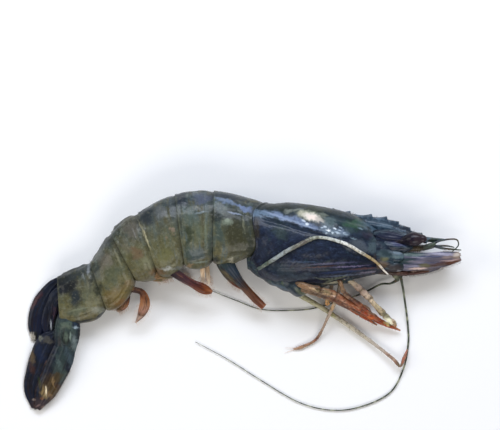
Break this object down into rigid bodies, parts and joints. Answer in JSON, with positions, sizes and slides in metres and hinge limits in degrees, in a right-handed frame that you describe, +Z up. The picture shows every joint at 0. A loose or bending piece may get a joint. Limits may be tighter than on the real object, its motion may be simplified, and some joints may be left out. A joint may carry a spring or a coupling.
{
  "type": "tiger prawn",
  "caption": "Whole raw tiger prawn lying on its side, with a curved jointed tail, a tail fan, folded legs and long feelers.",
  "frame": {"origin": "centre of the bounding box's underside, on the surface that the prawn lies on", "axes": "+X towards the head, +Y towards the back, +Z up, out of the prawn's right flank"},
  "size_m": [0.1748, 0.0888, 0.0266],
  "materials": {
    "segment_shell": "wet, semi-gloss, olive to grey green, darker at the hinges",
    "head_shell": "wet, glossy, dark navy to olive",
    "belly_skin": "wet, soft, grey green",
    "tail_blade": "wet, glossy, navy with brown red edges",
    "antennal_scale": "wet, satin, purple brown",
    "eye": "glossy, near black",
    "leg": "wet, satin, brown to orange red",
    "pale_leg": "wet, satin, tan to olive",
    "swimmeret": "wet, satin, dark blue at the base to red brown",
    "whisker": "satin, grey green"
  },
  "bodies": {
    "root": {"tail_segment_1": "segment_shell", "tail_segment_2": "segment_shell", "tail_segment_3": "segment_shell", "tail_segment_4": "segment_shell", "tail_segment_5": "segment_shell", "tail_segment_6": "segment_shell", "head_shell": "head_shell", "chest_underside": "belly_skin", "face": "belly_skin", "walking_leg_3_right": "pale_leg", "walking_leg_1_right": "pale_leg", "walking_leg_2_right": "pale_leg", "walking_leg_5_left": "pale_leg", "walking_leg_4_left": "pale_leg", "walking_leg_2_left": "pale_leg", "walking_leg_1_left": "pale_leg", "walking_leg_5_right": "pale_leg", "maxilliped_right": "pale_leg", "maxilliped_left": "pale_leg", "walking_leg_4_right": "leg", "walking_leg_3_left": "leg", "swimmeret_1_right": "swimmeret", "swimmeret_1_left": "swimmeret", "swimmeret_2_right": "swimmeret", "swimmeret_2_left": "swimmeret", "swimmeret_3_right": "swimmeret", "swimmeret_3_left": "swimmeret", "swimmeret_4_right": "swimmeret", "swimmeret_4_left": "swimmeret", "swimmeret_5_right": "swimmeret", "swimmeret_5_left": "swimmeret", "telson": "tail_blade", "uropod_left_outer": "tail_blade", "uropod_left_inner": "tail_blade", "uropod_right_base": "tail_blade", "uropod_right_outer": "tail_blade", "uropod_right_inner": "tail_blade", "antennal_scale_right": "antennal_scale", "antennal_scale_left": "antennal_scale", "eye_right": "eye", "eye_left": "eye", "antennule_right": "whisker", "antennule_left": "whisker", "feeler_right": "whisker", "feeler_left": "whisker"}
  },
  "joints": []
}
